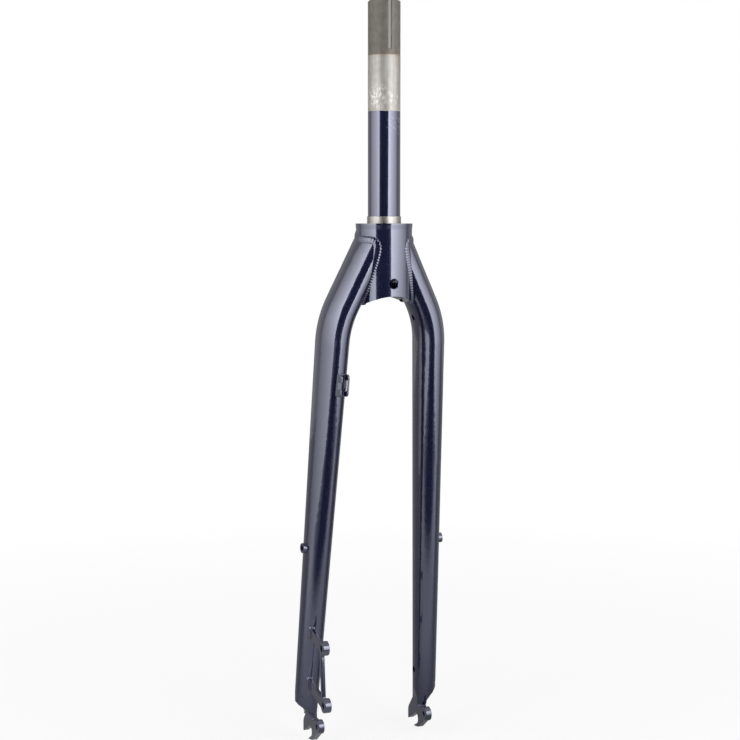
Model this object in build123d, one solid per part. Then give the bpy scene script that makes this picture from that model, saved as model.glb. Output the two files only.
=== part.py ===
from build123d import *
from math import atan2, cos, degrees, radians, sin, sqrt, tan
import os

# Rigid fork, seen in its own frame: +X is the rider's right, +Y is forward, +Z is up.
# The origin lies on the steerer axis, on the shoulder where the crown race sits.
# Every length is in millimetres and every angle in degrees.

# Steerer tube
STEERER_OD = 28.6
STEERER_WALL = 1.6
STEERER_LENGTH = 193.0
STEERER_CHAMFER = 0.8
KEYWAY_WIDTH = 3.0
KEYWAY_DEPTH = 1.0
KEYWAY_LENGTH = 42.0
RACE_SEAT_OD = 30.0
RACE_SEAT_HEIGHT = 6.2
PRESS_OD = 31.0
STEERER_RECESS = 3.0

# Crown barrel
CROWN_OD = 49.5
CROWN_DEPTH = 75.5
CROWN_LIP = 0.4
CROWN_LIP_HEIGHT = 1.5
CROWN_LIP_BLEND = 3.5
ARCH_APEX = 63.6
ARCH_RADIUS = 42.0
CROWN_HOLE_OD = 8.0
CROWN_HOLE_DROP = 52.6
CROWN_HOLE_RIM = 0.8

# Blades
BLADE_WALL = 2.2
BLADE_TOP_WIDTH = 27.2
BLADE_TOP_DEPTH = 43.0
BLADE_TIP_WIDTH = 21.2
BLADE_TIP_DEPTH = 23.6
BLADE_TOP_SPLAY = 25.6
BLADE_TOP_LEAN = 4.4
BLADE_ROOT = 4.0
KNEE_HALF_WIDTH = 45.4
KNEE_FORWARD = 5.9
KNEE_DROP = 87.0
BEND_RADIUS = 85.0
UPPER_VENT_OD = 5.0
UPPER_VENT_DROP = 84.0
LOWER_VENT_OD = 6.0
LOWER_VENT_RISE = 48.0

# Axle and dropouts
HUB_SPACING = 100.0
RAKE = 44.2
AXLE_DROP = 467.4
AXLE_OD = 9.0
AXLE_CLEARANCE = 0.5
SLOT_DIP = 30.0
PLATE_THICKNESS = 6.0
PLATE_RISE = 17.4
PLATE_CORNER = 1.5
NECK_FRONT = 9.5
NECK_REAR = -4.0
EAR_REACH = 15.2
JAW_REACH = 5.5
JAW_THICKNESS = 4.0
EYELET_OD = 13.0
EYELET_BACK = 18.7
EYELET_RISE = 9.4
EYELET_THREAD = 5.0
TIP_OFFSET = 9.4
TIP_FORWARD = 2.7
PLUG_LENGTH = 22.0
PLUG_CLEARANCE = 0.15
SCOOP_RADIUS = 30.0
SCOOP_HEIGHT = 10.0
BLADE_RUN_ON = 4.0
FLUSH_RISE = 4.0
FLUSH_SLOPE = 12.0

# Disc brake mount on the left blade
DISC_PITCH = 51.0
DISC_BACK = 52.0
DISC_RISE = 65.7
DISC_TILT = 5.4
DISC_FACE_OFFSET = 5.7
DISC_BOSS_OD = 13.0
DISC_BOSS_LENGTH = 6.3
DISC_HOLE_OD = 6.0
DISC_ARM_WIDTH = 9.0
DISC_ARM_THICKNESS = 3.6
DISC_ARM_CLIMB = 13.0
DISC_BAR_WIDTH = 4.4
DISC_BAR_FORWARD = 3.0

# Hose guide on the left blade
GUIDE_DROP = 138.7
GUIDE_SIDE = 2.0
GUIDE_HEIGHT = 20.0
GUIDE_CHANNEL = 5.4
GUIDE_WALL = 1.8
GUIDE_FLOOR = 1.6
GUIDE_RISE = 6.4
GUIDE_NOTCH = 6.5
GUIDE_TURN = 15.0
GUIDE_SLOT_LENGTH = 11.0
GUIDE_SLOT_WIDTH = 2.6

# Threaded bosses half way down the blades
BOSS_DROP = 292.0
BOSS_OD = 9.0
BOSS_SHANK_OD = 7.0
BOSS_RISE = 3.1
BOSS_DEPTH = 5.0
BOSS_THREAD = 5.0

# Weld beads
CROWN_BEAD = 1.2
MOUNT_BEAD = 1.6
TIP_BEAD = 1.6

# Clear length that a cutter runs past what it cuts
OVERRUN = 20.0

# Places that follow from the sizes above, for the blade on the +X side
crown_r = CROWN_OD / 2
axle_z = -AXLE_DROP
plate_top_z = axle_z + PLATE_RISE
blade_end_z = plate_top_z - BLADE_RUN_ON
plate_in_x = HUB_SPACING / 2
plate_out_x = plate_in_x + PLATE_THICKNESS
knee = Vector(KNEE_HALF_WIDTH, KNEE_FORWARD, -KNEE_DROP)
tip = Vector(plate_in_x + TIP_OFFSET, RAKE + TIP_FORWARD, plate_top_z)
upward = Vector(-tan(radians(BLADE_TOP_SPLAY)), -tan(radians(BLADE_TOP_LEAN)), 1).normalized()
downward = (tip - knee).normalized()
bend_turn = 180 - upward.get_angle(downward)
bend_tangent = BEND_RADIUS * tan(radians(bend_turn / 2))
bend_start = knee + upward * bend_tangent
bend_end = knee + downward * bend_tangent
bend_centre = knee + (upward + downward).normalized() * (BEND_RADIUS / cos(radians(bend_turn / 2)))
depth_dir = downward.cross(upward).normalized()
blade_head = knee + upward * ((KNEE_HALF_WIDTH - BLADE_ROOT) / -upward.X)


def cylinder_between(start, end, radius):
    """A round bar from one point to another."""
    along = end - start
    return Solid.make_cylinder(radius, along.length, Plane(start, z_dir=along.normalized()))


def oval(origin, direction, half_depth, half_width):
    """The blade's section: long axis fore and aft, square to the blade's line."""
    return Plane(origin, x_dir=depth_dir, z_dir=direction) * Ellipse(half_depth, half_width)


def blade_body(inset, below=0.0):
    """The blade as a filled body, taken in by inset and run on below its tip."""
    top_depth = BLADE_TOP_DEPTH / 2 - inset
    top_width = BLADE_TOP_WIDTH / 2 - inset
    tip_depth = BLADE_TIP_DEPTH / 2 - inset
    tip_width = BLADE_TIP_WIDTH / 2 - inset
    run_on = below / (tip - bend_end).length
    head = extrude(
        oval(blade_head, -upward, top_depth, top_width),
        amount=(blade_head - bend_start).length,
    )
    bend = revolve(
        oval(bend_start, -upward, top_depth, top_width),
        Axis(bend_centre, depth_dir),
        revolution_arc=bend_turn,
    )
    leg = loft(
        [
            oval(bend_end, downward, top_depth, top_width).face(),
            oval(
                tip + downward * below,
                downward,
                tip_depth + (tip_depth - top_depth) * run_on,
                tip_width + (tip_width - top_width) * run_on,
            ).face(),
        ]
    )
    return head + bend + leg


def leg_line(z):
    """Centre, half depth and half width of the straight leg at a height."""
    share = (bend_end.Z - z) / (bend_end.Z - tip.Z)
    centre = bend_end + (tip - bend_end) * share
    half_depth = (BLADE_TOP_DEPTH + (BLADE_TIP_DEPTH - BLADE_TOP_DEPTH) * share) / 2
    half_width = (BLADE_TOP_WIDTH + (BLADE_TIP_WIDTH - BLADE_TOP_WIDTH) * share) / 2
    return centre, half_depth, half_width


# Steerer tube
steerer_r = STEERER_OD / 2
bore_r = steerer_r - STEERER_WALL
seat_r = RACE_SEAT_OD / 2
press_r = PRESS_OD / 2
steerer_foot = -(ARCH_APEX - STEERER_RECESS)
with BuildPart() as steerer_build:
    with BuildSketch(Plane.XZ):
        with BuildLine():
            Polyline(
                (bore_r, steerer_foot),
                (press_r, steerer_foot),
                (press_r, 0),
                (seat_r, 0),
                (seat_r, RACE_SEAT_HEIGHT),
                (steerer_r, RACE_SEAT_HEIGHT),
                (steerer_r, STEERER_LENGTH - STEERER_CHAMFER),
                (steerer_r - STEERER_CHAMFER, STEERER_LENGTH),
                (bore_r, STEERER_LENGTH),
                close=True,
            )
        make_face()
    revolve(axis=Axis.Z)
keyway = Pos(0, -steerer_r, STEERER_LENGTH) * Box(KEYWAY_WIDTH, 2 * KEYWAY_DEPTH, 2 * KEYWAY_LENGTH)
crown_hole = cylinder_between(
    Vector(0, -crown_r - OVERRUN, -CROWN_HOLE_DROP),
    Vector(0, crown_r + OVERRUN, -CROWN_HOLE_DROP),
    CROWN_HOLE_OD / 2,
)
steerer_tube = steerer_build.part - keyway - crown_hole

# Crown barrel with its arched underside
with BuildPart() as crown_build:
    with BuildSketch(Plane.XZ):
        with BuildLine():
            Polyline(
                (0, 0),
                (crown_r + CROWN_LIP, 0),
                (crown_r + CROWN_LIP, -CROWN_LIP_HEIGHT),
                (crown_r, -CROWN_LIP_HEIGHT - CROWN_LIP_BLEND),
                (crown_r, -CROWN_DEPTH),
                (0, -CROWN_DEPTH),
                close=True,
            )
        make_face()
    revolve(axis=Axis.Z)
arch_centre = -ARCH_APEX - ARCH_RADIUS
arch = cylinder_between(
    Vector(0, -crown_r - OVERRUN, arch_centre),
    Vector(0, crown_r + OVERRUN, arch_centre),
    ARCH_RADIUS,
)
crown_block = crown_build.part - arch
crown_bore = Pos(0, 0, -CROWN_DEPTH / 2) * Cylinder(press_r, CROWN_DEPTH + OVERRUN)
hole_rim = Solid.make_cone(
    CROWN_HOLE_OD / 2 + 2 * CROWN_HOLE_RIM,
    CROWN_HOLE_OD / 2 - 2 * CROWN_HOLE_RIM,
    4 * CROWN_HOLE_RIM,
    Plane((0, -crown_r - CROWN_HOLE_RIM, -CROWN_HOLE_DROP), z_dir=(0, 1, 0)),
)
crown = crown_block - crown_bore - crown_hole - hole_rim - mirror(hole_rim, Plane.XZ)

# Dropout: a plate with a forward slot, an eyelet at the rear and a plug inside the blade
slot_r = (AXLE_OD + AXLE_CLEARANCE) / 2
slot_dir = (cos(radians(SLOT_DIP)), -sin(radians(SLOT_DIP)))
slot_side = (-slot_dir[1], slot_dir[0])


def along_slot(forward, aside):
    """A point measured from the axle along the slot and square to it."""
    return (
        RAKE + slot_dir[0] * forward + slot_side[0] * aside,
        axle_z + slot_dir[1] * forward + slot_side[1] * aside,
    )


eyelet_r = EYELET_OD / 2
eyelet_y = RAKE - EYELET_BACK
eyelet_z = axle_z + EYELET_RISE
jaw_low = along_slot(JAW_REACH, -slot_r - JAW_THICKNESS / 2)
jaw_heel = along_slot(0, -slot_r - JAW_THICKNESS)
ear_tip = along_slot(EAR_REACH + slot_r, slot_r)
neck_rear_y = RAKE + NECK_REAR
neck_front_y = RAKE + NECK_FRONT
plate_outline = [
    (neck_rear_y, plate_top_z),
    (neck_front_y, plate_top_z),
    (ear_tip[0] - PLATE_CORNER, (plate_top_z + ear_tip[1]) / 2 + PLATE_CORNER),
    (ear_tip[0], (plate_top_z + ear_tip[1]) / 2 - PLATE_CORNER),
    ear_tip,
    along_slot(0, slot_r),
    along_slot(0, -slot_r),
    along_slot(JAW_REACH + slot_r, -slot_r),
    jaw_low,
    jaw_heel,
    (eyelet_y, eyelet_z - eyelet_r),
    (eyelet_y, blade_end_z),
    (neck_rear_y, blade_end_z),
]
with BuildPart() as plate_build:
    with BuildSketch(Plane((plate_in_x, 0, 0), x_dir=(0, 1, 0), z_dir=(1, 0, 0))):
        with BuildLine():
            Polyline(*plate_outline, close=True)
        make_face()
        with Locations((eyelet_y, eyelet_z)):
            Circle(eyelet_r)
        with Locations((RAKE, axle_z)):
            Circle(slot_r, mode=Mode.SUBTRACT)
        with Locations((eyelet_y, eyelet_z)):
            Circle(EYELET_THREAD / 2, mode=Mode.SUBTRACT)
    extrude(amount=PLATE_THICKNESS)

scoop_top = Vector(tip.X + BLADE_TIP_WIDTH / 2, 0, plate_top_z + SCOOP_HEIGHT)
scoop_foot = Vector(plate_out_x, 0, blade_end_z)
scoop_chord = scoop_top - scoop_foot
scoop_reach = sqrt(SCOOP_RADIUS ** 2 - (scoop_chord.length / 2) ** 2)
scoop_out = Vector(scoop_chord.Z, 0, -scoop_chord.X).normalized()
scoop_centre = scoop_foot + scoop_chord * 0.5 + scoop_out * scoop_reach
scoop = cylinder_between(
    scoop_centre + Vector(0, tip.Y - BLADE_TIP_DEPTH, 0),
    scoop_centre + Vector(0, tip.Y + BLADE_TIP_DEPTH, 0),
    SCOOP_RADIUS,
)
tip_room = (BLADE_TIP_WIDTH + 2 * OVERRUN, BLADE_TIP_DEPTH + 2 * OVERRUN)
below_blade = Pos(tip.X, tip.Y, blade_end_z - OVERRUN) * Box(*tip_room, 2 * OVERRUN)
plug_space = Pos(tip.X, tip.Y, blade_end_z + PLUG_LENGTH / 2) * Box(*tip_room, PLUG_LENGTH)
plug = (blade_body(BLADE_WALL + PLUG_CLEARANCE, OVERRUN) & plug_space) - scoop
dropout = plate_build.part + plug

# Blade tube, coped to the crown, vented, scooped outside its tip and planed flush with the plate inside
blade_filled = blade_body(0.0, OVERRUN)
flush_z = plate_top_z + FLUSH_RISE
flush_outline = Polyline(
    (plate_in_x, blade_end_z - OVERRUN),
    (plate_in_x, flush_z),
    (plate_in_x - OVERRUN * tan(radians(FLUSH_SLOPE)), flush_z + OVERRUN),
    (plate_in_x - OVERRUN, flush_z + OVERRUN),
    (plate_in_x - OVERRUN, blade_end_z - OVERRUN),
    close=True,
)
flush_side = Plane.XZ.offset(-tip.Y - BLADE_TIP_DEPTH)
flush_cut = extrude(flush_side * make_face(flush_outline), 2 * BLADE_TIP_DEPTH)
cope_above = Pos(0, 0, crown_r) * Cylinder(crown_r, CROWN_OD)
lower_vent_z = axle_z + LOWER_VENT_RISE
lower_vent_centre = leg_line(lower_vent_z)[0]
upper_vent_centre = Vector(KNEE_HALF_WIDTH, KNEE_FORWARD - UPPER_VENT_OD, -UPPER_VENT_DROP)
vents = [
    cylinder_between(centre - Vector(BLADE_TOP_WIDTH, 0, 0), centre, diameter / 2)
    for centre, diameter in ((upper_vent_centre, UPPER_VENT_OD), (lower_vent_centre, LOWER_VENT_OD))
]
boss_centre, _, boss_half_width = leg_line(-BOSS_DROP)
boss_dir = depth_dir.cross(downward).normalized()
boss_dir = boss_dir * (1 if boss_dir.X > 0 else -1)
boss_seat = boss_centre + boss_dir * boss_half_width
boss_foot = boss_seat - boss_dir * BOSS_DEPTH
boss_top = boss_seat + boss_dir * BOSS_RISE
boss_shank = cylinder_between(boss_foot, boss_top, BOSS_SHANK_OD / 2)
boss_head = cylinder_between(boss_foot, boss_top, BOSS_OD / 2)
boss_thread = cylinder_between(
    boss_seat - boss_dir * OVERRUN, boss_seat + boss_dir * OVERRUN, BOSS_THREAD / 2
)
blade = blade_filled - blade_body(BLADE_WALL, OVERRUN)
blade = blade - crown_block - cope_above - scoop - below_blade - flush_cut
blade = blade - vents[0] - vents[1] - boss_shank - dropout
blade_boss = (boss_head - blade_filled) + boss_shank - boss_thread

# Weld collars: what lies within a bead's size of both pieces that it joins
crown_collar = Pos(0, 0, -CROWN_DEPTH / 2) * Cylinder(crown_r + CROWN_BEAD, CROWN_DEPTH)
crown_weld = (blade_body(-CROWN_BEAD) & crown_collar) - blade_filled - crown_block - arch
tip_corner = Vector(plate_in_x, tip.Y - BLADE_TIP_DEPTH, blade_end_z)
tip_band = Pos(tip_corner) * Box(PLATE_THICKNESS, BLADE_TIP_DEPTH, TIP_BEAD, align=Align.MIN)
dropout_weld = (blade_body(-TIP_BEAD, OVERRUN) & tip_band) - blade_filled - dropout

# Disc brake mount: two bosses on a bar, and two arms that climb to the blade
disc_face_x = plate_in_x + DISC_FACE_OFFSET
disc_outer_x = disc_face_x + DISC_BOSS_LENGTH
disc_mid = Vector(0, RAKE - DISC_BACK, axle_z + DISC_RISE)
disc_line = Vector(0, sin(radians(DISC_TILT)), cos(radians(DISC_TILT)))
disc_holes = [disc_mid + disc_line * (DISC_PITCH / 2 * end) for end in (1, -1)]
arm_dir = Vector(0, cos(radians(DISC_ARM_CLIMB)), sin(radians(DISC_ARM_CLIMB)))


def flat_bar(start, end, width, swell=0.0):
    """A flat round-ended bar of the bracket along its outer face, grown all round by swell."""
    along = end - start
    turn = degrees(atan2(along.Z, along.Y))
    middle = (start + end) * 0.5
    inner_x = disc_outer_x - DISC_ARM_THICKNESS - swell
    face = Plane((inner_x, middle.Y, middle.Z), x_dir=(0, 1, 0), z_dir=(1, 0, 0))
    outline = face * Rot(0, 0, turn) * SlotCenterToCenter(along.length, width + 2 * swell)
    return extrude(outline, DISC_ARM_THICKNESS + 2 * swell)


def arm_root(hole):
    """Where an arm's middle line reaches the blade's middle line."""
    reach = (leg_line(hole.Z)[0].Y - hole.Y) / arm_dir.Y
    return hole + arm_dir * reach


bar_shift = Vector(0, DISC_BAR_FORWARD, 0)
disc_brake_mount = flat_bar(disc_holes[0] + bar_shift, disc_holes[1] + bar_shift, DISC_BAR_WIDTH)
for hole in disc_holes:
    disc_brake_mount += flat_bar(hole, arm_root(hole), DISC_ARM_WIDTH)
    disc_brake_mount += cylinder_between(
        Vector(disc_face_x, hole.Y, hole.Z), Vector(disc_outer_x, hole.Y, hole.Z), DISC_BOSS_OD / 2
    )
for hole in disc_holes:
    disc_brake_mount -= cylinder_between(
        Vector(disc_face_x - OVERRUN, hole.Y, hole.Z),
        Vector(disc_outer_x + OVERRUN, hole.Y, hole.Z),
        DISC_HOLE_OD / 2,
    )
disc_brake_mount = disc_brake_mount - blade_filled


def arm_weld(hole):
    """The collar round an arm's root."""
    sleeve = flat_bar(hole, arm_root(hole), DISC_ARM_WIDTH, MOUNT_BEAD)
    return (sleeve & blade_body(-MOUNT_BEAD)) - blade_filled - disc_brake_mount


arm_welds = [arm_weld(hole) for hole in disc_holes]

# Hose guide: an open channel with two ears on one side and a slotted wall on the other
guide_centre, guide_half_depth, _ = leg_line(-GUIDE_DROP)
guide_up = -downward
guide_out = Vector(-sin(radians(GUIDE_TURN)), -cos(radians(GUIDE_TURN)), 0)
guide_out = (guide_out - guide_up * guide_out.dot(guide_up)).normalized()
guide_seat = guide_centre - depth_dir * guide_half_depth - Vector(GUIDE_SIDE, 0, 0)
guide_width = GUIDE_CHANNEL + 2 * GUIDE_WALL
guide_frame = Plane(guide_seat, x_dir=guide_up.cross(guide_out), z_dir=guide_out)
guide_sink = guide_width / 2
guide_tall = GUIDE_RISE + guide_sink
guide_block = Pos(0, 0, GUIDE_RISE - guide_tall / 2) * Box(guide_width, GUIDE_HEIGHT, guide_tall)
guide_block = fillet(guide_block.edges().filter_by(Axis.X).sort_by(Axis.Z)[-2:], GUIDE_RISE / 2)
channel_depth = GUIDE_RISE - GUIDE_FLOOR
channel_z = GUIDE_RISE - channel_depth / 2
channel = Pos(0, 0, channel_z) * Box(GUIDE_CHANNEL, GUIDE_HEIGHT + OVERRUN, channel_depth)
wall_x = (GUIDE_CHANNEL + GUIDE_WALL) / 2
notch = Pos(wall_x, 0, channel_z) * Box(GUIDE_WALL, GUIDE_NOTCH, channel_depth)
tie_slot = Pos(-wall_x, 0, channel_z) * Rot(0, 90, 0) * extrude(
    Rot(0, 0, 90) * SlotOverall(GUIDE_SLOT_LENGTH, GUIDE_SLOT_WIDTH), GUIDE_WALL, both=True
)
hose_guide = guide_frame.location * (guide_block - channel - notch - tie_slot) - blade_filled


def left(shape):
    """The same piece on the other side of the wheel plane."""
    return mirror(shape, Plane.YZ)


# One file for each piece, the left-hand ones mirrored
pieces = {
    "steerer_tube": steerer_tube,
    "crown": crown,
    "right_blade": blade,
    "left_blade": left(blade),
    "right_crown_weld": crown_weld,
    "left_crown_weld": left(crown_weld),
    "right_dropout": dropout,
    "left_dropout": left(dropout),
    "right_dropout_weld": dropout_weld,
    "left_dropout_weld": left(dropout_weld),
    "right_blade_boss": blade_boss,
    "left_blade_boss": left(blade_boss),
    "disc_brake_mount": left(disc_brake_mount),
    "disc_mount_upper_weld": left(arm_welds[0]),
    "disc_mount_lower_weld": left(arm_welds[1]),
    "hose_guide": left(hose_guide),
}
os.makedirs("parts", exist_ok=True)
for name, shape in pieces.items():
    export_step(shape, f"parts/{name}.step")
    print(name, len(shape.solids()), round(shape.volume, 1))
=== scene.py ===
# %% [markdown]
# A rigid bicycle fork, dressed for its portrait.
# The solids of the fork come in ready made and stay where they are.
# This lesson gives them paint and bare steel, cuts the steerer's thread, rounds the small forgings,
# lays the weld beads and rounds the feet of the blades.
# Then it sets up the studio in which the fork is looked at.

# %% Load the fork's solids
import bpy
from math import atan2, cos, pi, radians, sin, sqrt, tan
from mathutils import Euler, Matrix, Vector


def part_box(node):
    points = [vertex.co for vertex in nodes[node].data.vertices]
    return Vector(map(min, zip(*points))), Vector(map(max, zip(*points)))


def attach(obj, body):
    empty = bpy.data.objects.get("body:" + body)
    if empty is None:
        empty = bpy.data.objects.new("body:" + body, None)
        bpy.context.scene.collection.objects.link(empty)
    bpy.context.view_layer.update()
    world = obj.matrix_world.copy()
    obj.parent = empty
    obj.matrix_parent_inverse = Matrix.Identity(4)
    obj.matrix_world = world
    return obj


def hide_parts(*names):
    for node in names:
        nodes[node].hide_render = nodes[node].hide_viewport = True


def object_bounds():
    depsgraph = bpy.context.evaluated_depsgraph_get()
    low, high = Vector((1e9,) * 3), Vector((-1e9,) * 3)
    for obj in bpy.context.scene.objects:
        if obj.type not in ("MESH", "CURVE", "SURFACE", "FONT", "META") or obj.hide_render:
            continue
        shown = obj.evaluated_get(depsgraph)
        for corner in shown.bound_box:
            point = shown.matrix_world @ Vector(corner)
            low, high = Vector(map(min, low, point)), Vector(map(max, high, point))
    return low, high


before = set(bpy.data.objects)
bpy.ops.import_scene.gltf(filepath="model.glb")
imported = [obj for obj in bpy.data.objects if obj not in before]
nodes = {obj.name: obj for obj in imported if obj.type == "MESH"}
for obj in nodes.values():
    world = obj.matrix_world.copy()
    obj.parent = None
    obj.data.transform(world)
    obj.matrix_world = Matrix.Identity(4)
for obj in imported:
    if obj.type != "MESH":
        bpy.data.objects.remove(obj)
solid_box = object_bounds()
scene = bpy.context.scene
scene.view_settings.view_transform = "Standard"
print("solids loaded:", len(nodes), "box", [round(v, 4) for corner in solid_box for v in corner])

# %% [markdown]
# The camera.
# A portrait lens stands behind the fork and a little to the rider's left, level with the crown,
# and looks slightly down, so that both legs and both dropouts stay in the frame.
# The place was worked out from known sizes: the steerer's width, the hub's width and the disc tabs.

# %% Place the camera
CAMERA_PLACE = Vector((-0.4957, -1.2660, -0.0022))
CAMERA_TURN = 20.86
CAMERA_DIP = 5.37
SENSOR_WIDTH = 36.0
LENS = 74.54
camera_data = bpy.data.cameras.new("camera")
camera_data.sensor_width = SENSOR_WIDTH
camera_data.lens = LENS
camera = bpy.data.objects.new("camera", camera_data)
camera.location = CAMERA_PLACE
camera.rotation_euler = (radians(90 - CAMERA_DIP), 0, -radians(CAMERA_TURN))
scene.collection.objects.link(camera)
scene.camera = camera
print("camera stands", round(CAMERA_PLACE.length, 3), "m from the crown")

# %% [markdown]
# Writing shader maths.
# A material is a web of nodes, and a sum of two values is a node too.
# The small class below wraps one output, so that a mask can be written as a line of arithmetic
# and the Math nodes appear by themselves.
# Every other node comes from add_node, which sets its settings first and its sockets after.

# %% A value in a material
class Value:
    """One output of a node, which can be added, taken away and multiplied."""

    def __init__(self, tree, socket):
        self.tree = tree
        self.socket = socket

    def math(self, operation, *others, swap=False):
        inputs = list(others) + [self] if swap else [self] + list(others)
        return add_node(self.tree, "ShaderNodeMath", {"operation": operation}, dict(enumerate(inputs)))

    def __add__(self, other):
        return self.math("ADD", other)

    def __radd__(self, other):
        return self.math("ADD", other, swap=True)

    def __sub__(self, other):
        return self.math("SUBTRACT", other)

    def __rsub__(self, other):
        return self.math("SUBTRACT", other, swap=True)

    def __mul__(self, other):
        return self.math("MULTIPLY", other)

    def __rmul__(self, other):
        return self.math("MULTIPLY", other, swap=True)

    def step(self, start, end):
        """0 below start, 1 above end, with an even slope between."""
        return add_node(
            self.tree,
            "ShaderNodeMapRange",
            {"clamp": True},
            {"Value": self, "From Min": start, "From Max": end, "To Min": 0.0, "To Max": 1.0},
        )


def add_node(tree, kind, settings=None, inputs=None, output=0):
    """Any node: its settings first, then the values or links of its sockets."""
    node = tree.nodes.new(kind)
    for name, value in (settings or {}).items():
        setattr(node, name, value)
    for name, value in (inputs or {}).items():
        if isinstance(value, Value):
            tree.links.new(value.socket, node.inputs[name])
        else:
            node.inputs[name].default_value = value
    return Value(tree, node.outputs[output]) if node.outputs else None


print("shader maths ready")


# %% Nodes that are used often
def noise(tree, place, fineness, detail, **more):
    """Cloudy noise, with about as many clouds to the metre as its fineness, and 0.5 on average."""
    inputs = {"Vector": place, "Scale": fineness, "Detail": detail, **more}
    return add_node(tree, "ShaderNodeTexNoise", {}, inputs)


def stretched_noise(tree, place, fineness, detail, **more):
    """Noise with a fineness of its own along each axis."""
    squeezed = add_node(tree, "ShaderNodeMapping", {}, {"Vector": place, "Scale": fineness})
    return noise(tree, squeezed, 1.0, detail, **more)


def axes_of(tree, place):
    """The three coordinates of a place."""
    return [add_node(tree, "ShaderNodeSeparateXYZ", {}, {0: place}, axis) for axis in "XYZ"]


def measure(tree, operation, place, other=(0.0, 0.0, 0.0)):
    """A number measured on a place, such as its distance from another."""
    return add_node(tree, "ShaderNodeVectorMath", {"operation": operation}, {0: place, 1: other}, "Value")


def mix_colours(tree, factor, first, second):
    """One colour fading into another. The Mix node keeps its colours at sockets 6 and 7."""
    settings = {"data_type": "RGBA", "clamp_factor": True}
    return add_node(tree, "ShaderNodeMix", settings, {0: factor, 6: first, 7: second}, 2)


def mix_shaders(tree, factor, first, second):
    """One shader fading into another."""
    return add_node(tree, "ShaderNodeMixShader", {}, {0: factor, 1: first, 2: second})


def new_material(name):
    """An empty material, its nodes and the object's own coordinates."""
    material = bpy.data.materials.new(name)
    material.use_nodes = True
    tree = material.node_tree
    tree.nodes.clear()
    return material, tree, add_node(tree, "ShaderNodeTexCoord", output="Object")


def show(tree, shader):
    """Make a shader the material's surface."""
    add_node(tree, "ShaderNodeOutputMaterial", {}, {"Surface": shader})


print("material helpers ready")

# %% [markdown]
# The paint.
# The fork is sprayed deep blue under a hard clear lacquer.
# Almost all that is seen on it is reflection, so the colour itself is nearly black-blue,
# and the lacquer is smooth with a faint orange-peel ripple about a millimetre and a half long.
# Fine flake shifts the colour a little from grain to grain.
# Where something has rubbed, the lacquer is dull and the paint shows paler.

# %% Spray the paint
PAINT_DEEP = (0.0052, 0.0064, 0.021, 1.0)
PAINT_FLAKE = (0.0078, 0.0094, 0.033, 1.0)
PAINT_SHEEN = (0.64, 0.69, 1.0, 1.0)
PAINT_RUBBED = (0.30, 0.33, 0.46, 1.0)
FLAKE_FINENESS = 2600.0
CLOUD_FINENESS = 45.0
FLAKE_SHARE = 0.7
HAZE_FINENESS = 90.0
HAZE_LEAST = 0.14
HAZE_SPREAD = 0.08
HAZE_RUBBED = 0.3
LACQUER_LOST = 0.8
LACQUER_ROUGHNESS = 0.03
LACQUER_IOR = 1.6
PEEL_FINENESS = 620.0
PEEL_DEPTH = 0.0002
PEEL_STRENGTH = 0.02


def spray(tree, place, rubbed=None):
    """Blue paint under lacquer, with rubbed places if there are any."""
    flakes = noise(tree, place, FLAKE_FINENESS, 2.0) * FLAKE_SHARE
    grain = flakes + noise(tree, place, CLOUD_FINENESS, 2.0) * (1 - FLAKE_SHARE)
    colour = mix_colours(tree, grain.step(0.3, 0.7), PAINT_DEEP, PAINT_FLAKE)
    haze = noise(tree, place, HAZE_FINENESS, 3.0) * HAZE_SPREAD + HAZE_LEAST
    lacquer = 1.0
    if rubbed is not None:
        colour = mix_colours(tree, rubbed, colour, PAINT_RUBBED)
        haze = haze + rubbed * HAZE_RUBBED
        lacquer = 1 - rubbed * LACQUER_LOST
    peel = noise(tree, place, PEEL_FINENESS, 1.0)
    ripple = {"Strength": PEEL_STRENGTH, "Distance": PEEL_DEPTH, "Height": peel}
    sockets = {
        "Base Color": colour,
        "Roughness": haze,
        "Normal": add_node(tree, "ShaderNodeBump", {}, ripple),
        "Specular IOR Level": 1.0,
        "Specular Tint": PAINT_SHEEN,
        "Coat Weight": lacquer,
        "Coat Roughness": LACQUER_ROUGHNESS,
        "Coat IOR": LACQUER_IOR,
    }
    return add_node(tree, "ShaderNodeBsdfPrincipled", {}, sockets)


paint, paint_tree, paint_place = new_material("navy_paint")
show(paint_tree, spray(paint_tree, paint_place))
painted = [name for name in nodes if name != "steerer_tube"]
for name in painted:
    nodes[name].data.materials.clear()
    nodes[name].data.materials.append(paint)
print("painted solids:", len(painted))

# %% [markdown]
# The steerer's finish.
# From the top down it has a dull threaded length, a bare turned length with scratches,
# a length that caught the paint, and the machined seat for the headset's lower race.
# It is one tube, so one material reads the height along it and changes its finish there.
# A stain of rust lies where the thread runs out, and pale scratches where something scraped the steel.

# %% Mark out the steerer's lengths
THREAD_END = 0.1455
PAINT_EDGE = 0.0976
SEAT_TOP = 0.0062
SEAT_FOOT = -0.0005
EDGE_BLUR = 0.0001
EDGE_WAVER = 0.0012
EDGE_FINENESS = 160.0
THREAD_BLUR = 0.0003
STEERER_RADIUS = 0.0143
KEYWAY_FLOOR = 0.0133
KEYWAY_BLUR = 0.0001
KEYWAY_SLACK = 0.0002
steel, steel_tree, steel_place = new_material("steerer_steel")
along_x, along_y, height = axes_of(steel_tree, steel_place)
ragged = noise(steel_tree, steel_place, EDGE_FINENESS, 3.0)
edge_height = height + (ragged - 0.5) * EDGE_WAVER
over_paint = edge_height.step(PAINT_EDGE - EDGE_BLUR, PAINT_EDGE + EDGE_BLUR)
below_seat_top = 1 - edge_height.step(SEAT_TOP - 2 * EDGE_BLUR, SEAT_TOP)
race_seat = below_seat_top * height.step(SEAT_FOOT - EDGE_BLUR, SEAT_FOOT + EDGE_BLUR)
bare = over_paint + race_seat
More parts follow.
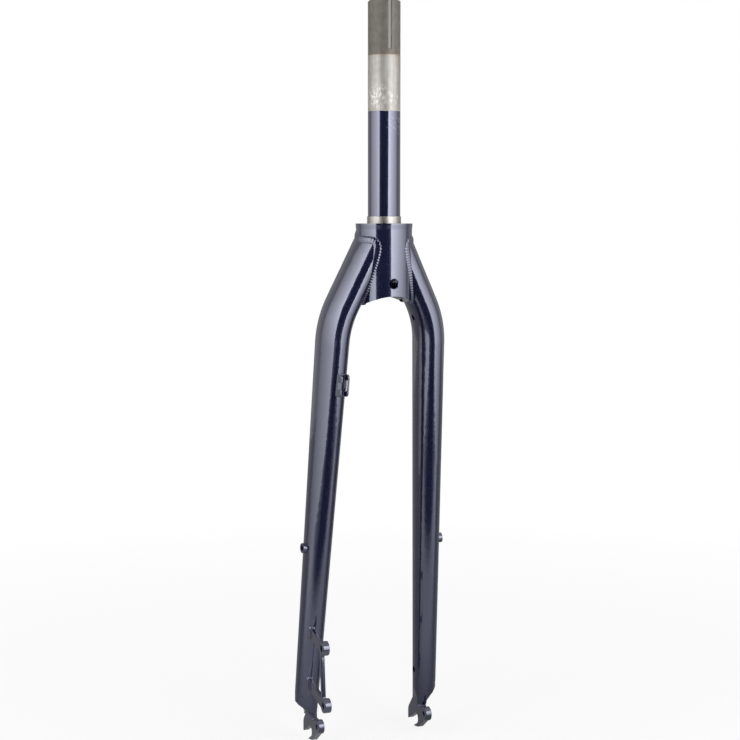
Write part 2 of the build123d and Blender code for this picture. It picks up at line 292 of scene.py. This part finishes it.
threaded = height.step(THREAD_END - THREAD_BLUR, THREAD_END + THREAD_BLUR)
from_axis = (along_x * along_x + along_y * along_y).math("SQRT")
past_inner = from_axis.step(KEYWAY_FLOOR - KEYWAY_SLACK - KEYWAY_BLUR, KEYWAY_FLOOR - KEYWAY_SLACK)
past_outer = from_axis.step(KEYWAY_FLOOR + KEYWAY_BLUR, KEYWAY_FLOOR + KEYWAY_BLUR + KEYWAY_SLACK)
in_keyway = past_inner * threaded * (1 - past_outer)
print("steerer lengths end at", THREAD_END, PAINT_EDGE, SEAT_TOP)

# %% Mark the steel where it was scraped or rusted
SPOT_CORE = 0.35
SCRAPED_SPOT = {"turn": 49.0, "spot_height": 0.110, "reach": 0.0135}
SPECKED_SPOT = {"turn": -12.0, "spot_height": 0.107, "reach": 0.010}
RUSTED_SPOT = {"turn": -58.0, "spot_height": 0.139, "reach": 0.011}
MOTTLE_FINENESS = 210.0
STROKE_FINENESS = (330.0, 330.0, 120.0)
STROKE_ROUGHNESS = 0.62
STROKE_DISTORTION = 1.6
STROKE_CORE = 0.015
STROKE_EDGE = 0.060
STROKE_SHARE = 0.75
SPECK_SHARE = 0.25
RUN_OUT_RISE = 0.0010
RUN_OUT_CORE = 0.0006
RUN_OUT_REACH = 0.0042
RUN_OUT_SHARE = 0.45
RUSTED_SHARE = 0.35


def near_spot(turn, spot_height, reach):
    """1 round a place turned from the steerer's rear towards the rider's left, and 0 past its reach."""
    centre = (-STEERER_RADIUS * sin(radians(turn)), -STEERER_RADIUS * cos(radians(turn)), spot_height)
    return 1 - measure(steel_tree, "DISTANCE", steel_place, centre).step(SPOT_CORE * reach, reach)


mottle = noise(steel_tree, steel_place, MOTTLE_FINENESS, 4.0)
crooked = {"Roughness": STROKE_ROUGHNESS, "Distortion": STROKE_DISTORTION}
strokes = stretched_noise(steel_tree, steel_place, STROKE_FINENESS, 5.0, **crooked)
thin_strokes = 1 - (strokes - 0.5).math("ABSOLUTE").step(STROKE_CORE, STROKE_EDGE)
patchy_strokes = thin_strokes * mottle.step(0.40, 0.55) * near_spot(**SCRAPED_SPOT)
specks = mottle.step(0.55, 0.62) * near_spot(**SPECKED_SPOT)
scraped = (patchy_strokes * STROKE_SHARE + specks * SPECK_SHARE) * over_paint
from_run_out = (height - (THREAD_END + RUN_OUT_RISE)).math("ABSOLUTE")
run_out = (1 - from_run_out.step(RUN_OUT_CORE, RUN_OUT_REACH)) * mottle.step(0.36, 0.60)
rust = run_out * RUN_OUT_SHARE + near_spot(**RUSTED_SPOT) * RUSTED_SHARE
print("scraped at", SCRAPED_SPOT["spot_height"], "and rusted at", THREAD_END)

# %% Finish the bare steel
STEEL_LIGHT = (0.40, 0.381, 0.360, 1.0)
STEEL_DULL = (0.30, 0.284, 0.266, 1.0)
THREAD_DARK = (0.200, 0.188, 0.166, 1.0)
THREAD_GREY = (0.248, 0.234, 0.208, 1.0)
RUST = (0.30, 0.212, 0.160, 1.0)
SCRAPED = (0.86, 0.85, 0.83, 1.0)
MILLED = (0.195, 0.185, 0.166, 1.0)
STREAK_FINENESS = (420.0, 420.0, 24.0)
STREAK_SHARE = 0.6
TURNING_FINENESS = (30.0, 30.0, 2600.0)
TURNING_DEPTH = 0.0002
TURNING_STRENGTH = 0.3
STEEL_METALLIC = 0.50
SEAT_METALLIC_GAIN = 0.35
THREAD_METALLIC_LOSS = 0.08
STEEL_ROUGHNESS = 0.38
SEAT_ROUGHNESS_LOSS = 0.10
streaks = stretched_noise(steel_tree, steel_place, STREAK_FINENESS, 3.0)
turning = stretched_noise(steel_tree, steel_place, TURNING_FINENESS, 2.0)
cloudy = (streaks * STREAK_SHARE + mottle * (1 - STREAK_SHARE)).step(0.38, 0.62)
thread_colour = mix_colours(steel_tree, mottle.step(0.35, 0.65), THREAD_DARK, THREAD_GREY)
steel_colour = mix_colours(steel_tree, cloudy, STEEL_DULL, STEEL_LIGHT)
coats = ((threaded, thread_colour), (rust, RUST), (scraped, SCRAPED), (in_keyway, MILLED))
for mask, colour in coats:
    steel_colour = mix_colours(steel_tree, mask, steel_colour, colour)
grooves = {"Strength": TURNING_STRENGTH, "Distance": TURNING_DEPTH, "Height": turning * 0.3 + mottle * 0.2}
uneven = streaks * 0.12 + mottle * 0.08
steel_sockets = {
    "Base Color": steel_colour,
    "Metallic": race_seat * SEAT_METALLIC_GAIN - threaded * THREAD_METALLIC_LOSS + STEEL_METALLIC,
    "Roughness": uneven - race_seat * SEAT_ROUGHNESS_LOSS + STEEL_ROUGHNESS,
    "Normal": add_node(steel_tree, "ShaderNodeBump", {}, grooves),
}
bare_steel = add_node(steel_tree, "ShaderNodeBsdfPrincipled", {}, steel_sockets)
print("bare steel ready")

# %% Paint the steerer below its edge
RUBBED_SPOT = {"turn": -29.0, "spot_height": 0.0875, "reach": 0.0120}
RUBBED_SHARE = 0.5
SCUFF_COSINE = 0.8
SCUFF_SINE = 0.6
SCUFFS_ACROSS = 900.0
SCUFFS_ALONG = 120.0
across_scuffs = (height * SCUFF_COSINE + along_x * SCUFF_SINE) * SCUFFS_ACROSS
along_scuffs = (along_x * SCUFF_COSINE - height * SCUFF_SINE) * SCUFFS_ALONG
scuff_places = add_node(steel_tree, "ShaderNodeCombineXYZ", {}, {0: across_scuffs, 1: along_scuffs})
scuffs = noise(steel_tree, scuff_places, 1.0, 3.0).step(0.53, 0.62)
steerer_paint = spray(steel_tree, steel_place, scuffs * near_spot(**RUBBED_SPOT) * RUBBED_SHARE)
show(steel_tree, mix_shaders(steel_tree, bare, steerer_paint, bare_steel))
print("steerer painted from", SEAT_TOP, "to", PAINT_EDGE)

# %% [markdown]
# The steerer's thread.
# A threaded headset screws onto the top of the steerer: one inch and an eighth, 26 threads to the inch.
# On a lathe a pointed tool runs up the turning tube and leaves a V-shaped groove.
# The same is done here: a three-cornered profile is wound up the tube by the Screw modifier,
# and a Boolean cuts that coil out of a copy of the tube.
# A bump map would look the same from afar, but the crests would be missing at the tube's edge.

# %% Copy a solid so that it can be worked on
MERGE_GAP = 0.000001


def copy_solid(name, node):
    """A merged copy of a solid, selected and active."""
    bpy.ops.object.select_all(action="DESELECT")
    piece = bpy.data.objects.new(name, nodes[node].data.copy())
    scene.collection.objects.link(piece)
    piece.select_set(True)
    bpy.context.view_layer.objects.active = piece
    bpy.ops.object.mode_set(mode="EDIT")
    bpy.ops.mesh.select_all(action="SELECT")
    bpy.ops.mesh.remove_doubles(threshold=MERGE_GAP)
    bpy.ops.object.mode_set(mode="OBJECT")
    bpy.ops.mesh.customdata_custom_splitnormals_clear()
    return piece


def cut_rings(start, gap, rings):
    """Cut level rings of edges into the active piece, from a height downwards, and leave it in edit mode."""
    bpy.ops.object.mode_set(mode="EDIT")
    for ring in range(rings):
        bpy.ops.mesh.select_all(action="SELECT")
        bpy.ops.mesh.bisect(plane_co=(0, 0, start - ring * gap), plane_no=(0, 0, 1))


def place_for(piece, node, material):
    """The piece rides with the fork, stands for a solid and takes a finish."""
    piece.data.materials.clear()
    piece.data.materials.append(material)
    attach(piece, "root")
    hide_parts(node)


print("copies merge corners closer than", MERGE_GAP)

# %% Wind the threading tool
THREAD_PITCH = 0.000977
THREAD_DEPTH = 0.00050
THREAD_STEPS = 64
TOOL_SHARE = 0.9
TOOL_CLEAR = 0.0002
steerer_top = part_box("steerer_tube")[1][2]
thread_turns = int((steerer_top - THREAD_END) / THREAD_PITCH) + 1
half_tool = THREAD_PITCH * TOOL_SHARE / 2
tool_corners = [
    (STEERER_RADIUS - THREAD_DEPTH, 0.0),
    (STEERER_RADIUS + TOOL_CLEAR, half_tool),
    (STEERER_RADIUS + TOOL_CLEAR, -half_tool),
]
bpy.ops.object.select_all(action="DESELECT")
bpy.ops.mesh.primitive_circle_add(vertices=len(tool_corners), radius=THREAD_PITCH)
tool = bpy.context.object
tool.name = "threading_tool"
for vertex, (outward, upward) in zip(tool.data.vertices, tool_corners):
    vertex.co = (outward, 0, upward)
tool.location = (0, 0, THREAD_END + half_tool)
bpy.ops.object.transform_apply(location=True, rotation=True, scale=True)
winding = tool.modifiers.new("winding", "SCREW")
winding.screw_offset = THREAD_PITCH
winding.iterations = thread_turns
winding.steps = THREAD_STEPS
winding.render_steps = THREAD_STEPS
bpy.ops.object.modifier_apply(modifier="winding")
bpy.ops.object.mode_set(mode="EDIT")
bpy.ops.mesh.select_all(action="SELECT")
bpy.ops.mesh.fill_holes(sides=len(tool_corners))
bpy.ops.mesh.normals_make_consistent(inside=False)
bpy.ops.object.mode_set(mode="OBJECT")
print("threading tool makes", thread_turns, "turns")

# %% Cut the thread
THREAD_RINGS = 2
THREAD_RING_GAP = 0.0008
SHARP_ANGLE = radians(30.0)
threaded_steerer = copy_solid("threaded_steerer", "steerer_tube")
cut_rings(THREAD_END - THREAD_RING_GAP, THREAD_RING_GAP, THREAD_RINGS)
bpy.ops.object.mode_set(mode="OBJECT")
cutting = threaded_steerer.modifiers.new("cutting", "BOOLEAN")
cutting.operation = "DIFFERENCE"
cutting.solver = "EXACT"
cutting.object = tool
bpy.ops.object.modifier_apply(modifier="cutting")
bpy.data.objects.remove(tool, do_unlink=True)
bpy.ops.object.shade_smooth_by_angle(angle=SHARP_ANGLE)
place_for(threaded_steerer, "steerer_tube", steel)
print("thread cut, faces:", len(threaded_steerer.data.polygons))

# %% [markdown]
# The forgings.
# The dropouts, the disc brake mount and the hose guide are small forgings and castings,
# and under their paint no edge is sharp.
# A bevel needs clean edge loops, which a solid's triangles don't have,
# so each copy is melted by a voxel remesh and relaxed, and every edge comes out round.
# A piece that leans is first turned square to the voxels, so that its straight edges show no steps.

# %% Round the small forgings
DISC_TILT = 5.4
UPRIGHT = (0.0, 0.0, 0.0)
DISC_LEAN = (-DISC_TILT, 0.0, 0.0)
GUIDE_LEAN = (6.79, 0.46, 15.0)
RELAX_FACTOR = 0.5
FORGINGS = {
    "rounded_left_dropout": {"node": "left_dropout", "lean": UPRIGHT, "voxel": 0.00032, "passes": 22},
    "rounded_right_dropout": {"node": "right_dropout", "lean": UPRIGHT, "voxel": 0.00032, "passes": 22},
    "rounded_disc_mount": {"node": "disc_brake_mount", "lean": DISC_LEAN, "voxel": 0.00025, "passes": 20},
    "rounded_hose_guide": {"node": "hose_guide", "lean": GUIDE_LEAN, "voxel": 0.00018, "passes": 16},
}


def melt(piece, voxel, passes):
    """Remesh the active piece into even small faces and relax them."""
    melting = piece.modifiers.new("melting", "REMESH")
    melting.mode = "VOXEL"
    melting.voxel_size = voxel
    melting.use_smooth_shade = True
    relaxing = piece.modifiers.new("relaxing", "SMOOTH")
    relaxing.factor = RELAX_FACTOR
    relaxing.iterations = passes
    bpy.ops.object.modifier_apply(modifier="melting")
    bpy.ops.object.modifier_apply(modifier="relaxing")
    bpy.ops.object.shade_smooth()


def turn_about_origin(piece, matrix):
    """Turn the active piece and keep the turn in its mesh."""
    piece.matrix_world = matrix
    bpy.ops.object.transform_apply(location=False, rotation=True, scale=False)


for name, plan in FORGINGS.items():
    forging = copy_solid(name, plan["node"])
    leaning = Euler([radians(angle) for angle in plan["lean"]]).to_matrix().to_4x4()
    turn_about_origin(forging, leaning.inverted())
    melt(forging, plan["voxel"], plan["passes"])
    turn_about_origin(forging, leaning)
    place_for(forging, plan["node"], paint)
    print(name, "faces:", len(forging.data.polygons))

# %% [markdown]
# The weld beads.
# A hand-laid bead is a row of small overlapping puddles, like coins pushed over.
# One puddle is shaped once from a ball: its upper part is pushed forward so that it leans.
# Copies of it are set along each seam, a pitch apart, joined, and melted into one bead.
# A rippled tube along the seam would be quicker, but its ripples wouldn't lean and overlap.

# %% Shape one puddle
PUDDLE_LEAN = 0.45
PUDDLE_WAIST = 0.2
bpy.ops.object.select_all(action="DESELECT")
bpy.ops.mesh.primitive_uv_sphere_add(segments=14, ring_count=8, radius=1.0)
puddle = bpy.context.object
puddle.name = "weld_puddle"
bpy.ops.object.mode_set(mode="EDIT")
bpy.ops.mesh.select_mode(type="VERT")
bpy.ops.mesh.select_all(action="DESELECT")
bpy.ops.object.mode_set(mode="OBJECT")
for vertex in puddle.data.vertices:
    vertex.select = vertex.co.z > PUDDLE_WAIST
bpy.ops.object.mode_set(mode="EDIT")
bpy.ops.transform.translate(value=(PUDDLE_LEAN, 0, 0))
bpy.ops.object.mode_set(mode="OBJECT")
puddle.hide_render = True
print("puddle faces:", len(puddle.data.polygons))

# %% Lay a row of puddles along a seam
BEAD_PASSES = 2


def even_places(seam, pitch):
    """Places a pitch apart on a dense line of corners, with the way along and the way out of each."""
    places = []
    travelled = pitch
    for (corner, outward), (next_corner, _) in zip(seam, seam[1:]):
        onward = next_corner - corner
        travelled += onward.length
        if travelled >= pitch and onward.length > 0:
            places.append((corner, onward.normalized(), outward))
            travelled = 0.0
    return places


def lay_bead(name, node, seam, wide, tall, pitch, voxel):
    """One bead: puddles along the seam, joined and melted."""
    copies = []
    for corner, onward, outward in even_places(seam, pitch):
        across = outward.cross(onward).normalized()
        upright = onward.cross(across).normalized()
        turned = Matrix((onward, across, upright)).transposed().to_4x4()
        sized = Matrix.Diagonal((pitch, wide / 2, tall, 1.0))
        copy = bpy.data.objects.new(name, puddle.data.copy())
        scene.collection.objects.link(copy)
        copy.matrix_world = Matrix.Translation(corner) @ turned @ sized
        copies.append(copy)
    bpy.ops.object.select_all(action="DESELECT")
    for copy in copies:
        copy.select_set(True)
    bead = copies[0]
    bpy.context.view_layer.objects.active = bead
    bpy.ops.object.join()
    bpy.ops.object.transform_apply(location=True, rotation=True, scale=True)
    bead.name = name
    melt(bead, voxel, BEAD_PASSES)
    place_for(bead, node, paint)
    print(name, "puddles:", len(copies), "faces:", len(bead.data.polygons))


def mirrored(seam):
    """The same seam on the rider's left."""
    flip = Vector((-1, 1, 1))
    return [(corner * flip, outward * flip) for corner, outward in seam]


print("beads are relaxed", BEAD_PASSES, "times")

# %% [markdown]
# The crown seams.
# Each blade is an oval tube whose end is cut to the round barrel of the crown.
# The seam is where the blade's straight lines first meet the barrel,
# so every point comes from one quadratic equation, and what lies under the crown's arch is left out.

# %% Weld the blades to the crown
KNEE = Vector((0.0454, 0.0059, -0.0870))
TIP = Vector((0.0594, 0.0469, -0.4500))
BLADE_SPLAY = 25.6
BLADE_LEAN = 4.4
BLADE_HALF_DEPTH = 0.0215
BLADE_HALF_WIDTH = 0.0136
CROWN_RADIUS = 0.02475
ARCH_CENTRE = -0.1056
ARCH_RADIUS = 0.0420
ARCH_CLEAR = 0.0015
SEAM_STEPS = 2400
CROWN_BEAD = {"wide": 0.0076, "tall": 0.0013, "pitch": 0.0023, "voxel": 0.00028}
blade_up = Vector((-tan(radians(BLADE_SPLAY)), -tan(radians(BLADE_LEAN)), 1)).normalized()
blade_deep = (TIP - KNEE).cross(blade_up).normalized()
blade_wide = blade_deep.cross(blade_up)


def crown_corner(turn):
    """Where one line of the blade meets the barrel, and the way out of that corner."""
    offset = blade_deep * (BLADE_HALF_DEPTH * cos(turn)) + blade_wide * (BLADE_HALF_WIDTH * sin(turn))
    start = KNEE + offset
    square = blade_up.x ** 2 + blade_up.y ** 2
    half = start.x * blade_up.x + start.y * blade_up.y
    rest = start.x ** 2 + start.y ** 2 - CROWN_RADIUS ** 2
    corner = start + blade_up * ((-half - sqrt(half ** 2 - square * rest)) / square)
    barrel_out = Vector((corner.x, corner.y, 0)).normalized()
    blade_out = blade_deep * (cos(turn) / BLADE_HALF_DEPTH) + blade_wide * (sin(turn) / BLADE_HALF_WIDTH)
    return corner, (barrel_out + blade_out.normalized()).normalized()


crown_seam = []
for step in range(SEAM_STEPS):
    corner, outward = crown_corner(2 * pi * step / SEAM_STEPS - pi / 2)
    if Vector((corner.x, 0, corner.z - ARCH_CENTRE)).length > ARCH_RADIUS + ARCH_CLEAR:
        crown_seam.append((corner, outward))
lay_bead("right_crown_bead", "right_crown_weld", crown_seam, **CROWN_BEAD)
lay_bead("left_crown_bead", "left_crown_weld", mirrored(crown_seam), **CROWN_BEAD)

# %% [markdown]
# The dropout and bracket seams.
# A dropout's plate is welded round the foot of its blade, and the two arms of the brake bracket
# end on the back of the left blade.
# The blade is no simple oval there.
# So a ray cast along each arm, or across each plate, finds the blade's surface, as a probe would.

# %% Weld the dropouts
PLATE_INSIDE = 0.0500
PLATE_OUTSIDE = 0.0560
BLADE_END = -0.4540
PROBE_LIFT = 0.0003
PROBE_REACH = 0.040
TIP_STEPS = 240
TIP_BEAD = {"wide": 0.0026, "tall": 0.0010, "pitch": 0.0015, "voxel": 0.00020}


def foot_of_blade(x, way):
    """Where the blade stands on the plate, probed from behind or from in front."""
    start = Vector((x, TIP.y - way * PROBE_REACH, BLADE_END + PROBE_LIFT))
    found, hit, out, _ = nodes["right_blade"].ray_cast(start, Vector((0, way, 0)))
    return found, Vector((x, hit.y, BLADE_END)), out


tip_seam = []
for step in range(TIP_STEPS):
    x = PLATE_INSIDE + (PLATE_OUTSIDE - PLATE_INSIDE - PROBE_LIFT) * step / TIP_STEPS
    found, corner, out = foot_of_blade(x, 1)
    if found:
        tip_seam.append((corner, (out + Vector((0, 0, 1))).normalized()))
rear_y = tip_seam[-1][0].y
front_y = foot_of_blade(PLATE_OUTSIDE - PROBE_LIFT, -1)[1].y
for step in range(TIP_STEPS):
    y = rear_y + (front_y - rear_y) * step / TIP_STEPS
    tip_seam.append((Vector((PLATE_OUTSIDE, y, BLADE_END)), Vector((1, 0, -1)).normalized()))
lay_bead("right_tip_bead", "right_dropout_weld", tip_seam, **TIP_BEAD)
lay_bead("left_tip_bead", "left_dropout_weld", mirrored(tip_seam), **TIP_BEAD)

# %% Weld the bracket's arms
DISC_MIDDLE = Vector((0, -0.0078, -0.4017))
DISC_PITCH = 0.0510
ARM_CLIMB = 13.0
ARM_OUTSIDE = 0.0620
ARM_THICK = 0.0036
ARM_WIDE = 0.0090
ARM_STEPS = 900
ARM_BEAD = {"wide": 0.0042, "tall": 0.0016, "pitch": 0.0017, "voxel": 0.00024}
arm_way = Vector((0, cos(radians(ARM_CLIMB)), sin(radians(ARM_CLIMB))))
arm_across = Vector((0, -arm_way.z, arm_way.y))
arm_middle = Vector((-ARM_OUTSIDE + ARM_THICK / 2, 0, 0))
half_pitch = Vector((0, sin(radians(DISC_TILT)), cos(radians(DISC_TILT)))) * (DISC_PITCH / 2)


def signed_root(value):
    """A square root that keeps the sign."""
    return sqrt(abs(value)) * (1 if value > 0 else -1)


def arm_seam(hole):
    """Round the arm's squared section, each point probed along the arm to the blade."""
    seam = []
    for step in range(ARM_STEPS + 1):
        turn = 2 * pi * step / ARM_STEPS
        aside = Vector((signed_root(cos(turn)) * ARM_THICK / 2, 0, 0))
        aside += arm_across * (signed_root(sin(turn)) * ARM_WIDE / 2)
        found, hit, out, _ = nodes["left_blade"].ray_cast(hole + arm_middle + aside, arm_way)
        if found:
            arm_out = Vector((cos(turn) ** 3, 0, 0)) + arm_across * sin(turn) ** 3
            seam.append((hit, (out + arm_out.normalized()).normalized()))
    return seam


lay_bead("upper_arm_bead", "disc_mount_upper_weld", arm_seam(DISC_MIDDLE + half_pitch), **ARM_BEAD)
lay_bead("lower_arm_bead", "disc_mount_lower_weld", arm_seam(DISC_MIDDLE - half_pitch), **ARM_BEAD)
bpy.data.objects.remove(puddle, do_unlink=True)

# %% [markdown]
# The feet of the blades.
# Each blade is cut on a slope above its dropout, and the rim of that cut is dressed round.
# Rings are cut into the last of the blade for a finer mesh, and its outer corner is relaxed.
# Edges elsewhere, such as the rims of the vent holes, are marked so that they stay crisp.
# Melting the whole blade, as was done with the forgings, would take too many faces.

# %% Round the feet of the blades
FOOT_TOP = -0.4325
FOOT_INSIDE = 0.0580
FOOT_RINGS = 20
FOOT_RING_GAP = 0.0010
FOOT_PASSES = 30
for name, node in (("rounded_right_blade", "right_blade"), ("rounded_left_blade", "left_blade")):
    blade = copy_solid(name, node)
    bpy.ops.object.mode_set(mode="EDIT")
    bpy.ops.mesh.select_mode(type="EDGE")
    bpy.ops.mesh.select_all(action="DESELECT")
    bpy.ops.mesh.edges_select_sharp(sharpness=SHARP_ANGLE)
    bpy.ops.mesh.mark_sharp()
    cut_rings(FOOT_TOP, FOOT_RING_GAP, FOOT_RINGS)
    bpy.ops.mesh.select_mode(type="VERT")
    bpy.ops.mesh.select_all(action="DESELECT")
    bpy.ops.object.mode_set(mode="OBJECT")
    for vertex in blade.data.vertices:
        vertex.select = vertex.co.z < FOOT_TOP and abs(vertex.co.x) > FOOT_INSIDE
    bpy.ops.object.mode_set(mode="EDIT")
    bpy.ops.mesh.mark_sharp(clear=True)
    bpy.ops.mesh.vertices_smooth(factor=RELAX_FACTOR, repeat=FOOT_PASSES)
    bpy.ops.object.mode_set(mode="OBJECT")
    bpy.ops.object.shade_smooth()
    place_for(blade, node, paint)
    print(name, "faces:", len(blade.data.polygons))

# %% [markdown]
# The studio.
# A pale floor lies under the dropouts and fades into a white room.
# Two tall softboxes stand left and right of the camera, near the fork, each brightest at its inner edge.
# What the lacquer mirrors between them is the unlit end of the room behind the camera,
# and that leaves the dark stripe down every tube.
# Grey walls that the camera doesn't see, and a sheet on the floor that only mirrors see, do the same here.

# %% Lay the floor
FLOOR_DROP = 0.0012
FLOOR_SIZE = 14.0
FLOOR_GREY = (0.86, 0.86, 0.86, 1.0)
WHITE_LEAST = 0.86
WHITE_NEAR = 0.15
WHITE_FAR = 1.1
floor_height = solid_box[0].z - FLOOR_DROP


def seen_directly(tree):
    """1 for a ray from the eye, from a mirror or through glass, 0 for one that only carries light."""
    rays = ("Is Camera Ray", "Is Glossy Ray", "Is Transmission Ray")
    eye, mirror, glass = [add_node(tree, "ShaderNodeLightPath", output=ray) for ray in rays]
    return eye.math("MAXIMUM", mirror).math("MAXIMUM", glass)


bpy.ops.object.select_all(action="DESELECT")
bpy.ops.mesh.primitive_plane_add(size=FLOOR_SIZE, location=(0, 0, floor_height))
floor = bpy.context.object
floor.name = "studio_floor"
floor_material, floor_tree, floor_place = new_material("studio_floor")
matte = add_node(floor_tree, "ShaderNodeBsdfDiffuse", {}, {"Color": FLOOR_GREY})
white = add_node(floor_tree, "ShaderNodeEmission")
far_share = measure(floor_tree, "LENGTH", floor_place).step(WHITE_NEAR, WHITE_FAR)
white_share = seen_directly(floor_tree) * (far_share * (1 - WHITE_LEAST) + WHITE_LEAST)
show(floor_tree, mix_shaders(floor_tree, white_share, matte, white))
floor.data.materials.append(floor_material)
print("floor lies at", round(floor_height, 4))

# %% Fill the room with pale light
ROOM_LEVEL = 0.25
world = bpy.data.worlds.new("studio_room")
scene.world = world
world.use_nodes = True
room_tree = world.node_tree
room_tree.nodes.clear()
room_level = seen_directly(room_tree) * (1 - ROOM_LEVEL) + ROOM_LEVEL
room = add_node(room_tree, "ShaderNodeBackground", {}, {"Color": room_level})
add_node(room_tree, "ShaderNodeOutputWorld", {}, {"Surface": room})
print("room light", ROOM_LEVEL)

# %% Set the softboxes
BOX_REACH = 0.75
BOX_TALL = 0.92
BOX_HALF_ANGLE = 37.5
BOX_DIM = 0.8
BOX_FALL = 1.2
BOX_FOOT_SHARE = 0.55
BOX_TOP_SHARE = 1.10
BOX_FADE_LOW = -0.40
BOX_FADE_HIGH = 0.13
RIGHT_BOX = {"inner_turn": 28.5, "side": 1, "bright": 6.2}
LEFT_BOX = {"inner_turn": 33.0, "side": -1, "bright": 4.5}
eye_side = Vector((CAMERA_PLACE.x, CAMERA_PLACE.y, 0)).normalized()
eye_angle = atan2(eye_side.y, eye_side.x)


def glowing(name, level_over):
    """A material that only gives off light, at a level that varies over it."""
    material, tree, place = new_material(name)
    show(tree, add_node(tree, "ShaderNodeEmission", {}, {"Color": level_over(tree, place)}))
    return material


def softbox(name, inner_turn, side, bright):
    """An upright lamp panel that faces the fork and fades towards its far edge and its foot."""
    wide = 2 * BOX_REACH * tan(radians(BOX_HALF_ANGLE))
    bpy.ops.object.select_all(action="DESELECT")
    bpy.ops.mesh.primitive_plane_add(size=1.0)
    panel = bpy.context.object
    panel.name = name
    bpy.ops.object.mode_set(mode="EDIT")
    bpy.ops.mesh.select_all(action="SELECT")
    bpy.ops.transform.resize(value=(wide, BOX_TALL, 1.0))
    bpy.ops.object.mode_set(mode="OBJECT")
    angle = eye_angle + side * radians(inner_turn + BOX_HALF_ANGLE)
    panel.location = (BOX_REACH * cos(angle), BOX_REACH * sin(angle), floor_height + BOX_TALL / 2)
    panel.rotation_euler = (radians(90), 0, angle - radians(90))

    def fading(tree, place):
        across, upward, _ = axes_of(tree, place)
        near = (across * side).step(-wide / 2, wide / 2).math("POWER", BOX_FALL)
        lift = upward.step(BOX_FADE_LOW, BOX_FADE_HIGH) * (BOX_TOP_SHARE - BOX_FOOT_SHARE) + BOX_FOOT_SHARE
        return (near * (bright - BOX_DIM) + BOX_DIM) * lift

    panel.data.materials.append(glowing(name, fading))
    panel.visible_camera = False


softbox("softbox_right", **RIGHT_BOX)
softbox("softbox_left", **LEFT_BOX)
print("softboxes at", BOX_REACH, "m")

# %% Hang the grey walls
WALL_REACH = 2.4
WALL_TALL = 3.2
WALL_SIDES = 96
WALL_LEVEL = 0.42
BACK_LEVEL = 0.22
BACK_FULL = -0.95 * WALL_REACH
BACK_START = -0.75 * WALL_REACH
DARK_LEVEL = 0.012
DARK_FULL = WALL_REACH * cos(radians(42.0))
DARK_START = WALL_REACH * cos(radians(44.0))


def wall_light(tree, place):
    """Dark towards the camera, grey at the sides, dimmer behind the fork."""
    forward = measure(tree, "DOT_PRODUCT", place, tuple(eye_side))
    back = 1 - forward.step(BACK_FULL, BACK_START)
    dark = forward.step(DARK_START, DARK_FULL)
    return WALL_LEVEL - dark * (WALL_LEVEL - DARK_LEVEL) - back * (WALL_LEVEL - BACK_LEVEL)


bpy.ops.object.select_all(action="DESELECT")
bpy.ops.mesh.primitive_cylinder_add(
    vertices=WALL_SIDES,
    radius=WALL_REACH,
    depth=WALL_TALL,
    end_fill_type="NOTHING",
    location=(0, 0, floor_height + WALL_TALL / 2),
)
walls = bpy.context.object
walls.name = "studio_walls"
walls.data.materials.append(glowing("studio_walls", wall_light))
walls.visible_camera = False
print("walls at", WALL_REACH, "m")

# %% Lay the sheet that only mirrors see
SHEET_LIFT = FLOOR_DROP / 4
SHEET_LEVEL = 0.75
SHEET_START = -0.05
SHEET_FULL = 0.10
SHEET_FADE = 0.23
SHEET_END = 0.35
SIDE_LEVEL = 0.4
SIDE_START = 0.25
SIDE_FULL = 0.60


def sheet_light(tree, place):
    """Lit near the fork and under the softboxes, dark towards the camera, grey behind."""
    forward = measure(tree, "DOT_PRODUCT", place, tuple(eye_side))
    aside = measure(tree, "DOT_PRODUCT", place, (-eye_side.y, eye_side.x, 0)).math("ABSOLUTE")
    lit = forward.step(SHEET_START, SHEET_FULL)
    dark = forward.step(SHEET_FADE, SHEET_END)
    middle = lit * (SHEET_LEVEL - BACK_LEVEL) - dark * (SHEET_LEVEL - DARK_LEVEL) + BACK_LEVEL
    return middle + lit * aside.step(SIDE_START, SIDE_FULL) * SIDE_LEVEL


bpy.ops.object.select_all(action="DESELECT")
bpy.ops.mesh.primitive_circle_add(
    vertices=WALL_SIDES, radius=WALL_REACH, fill_type="NGON", location=(0, 0, floor_height + SHEET_LIFT)
)
sheet = bpy.context.object
sheet.name = "mirror_sheet"
sheet.data.materials.append(glowing("mirror_sheet", sheet_light))
sheet.visible_camera = False
sheet.visible_diffuse = False
sheet.visible_shadow = False
print("sheet lit to", SHEET_END, "m in front of the fork")
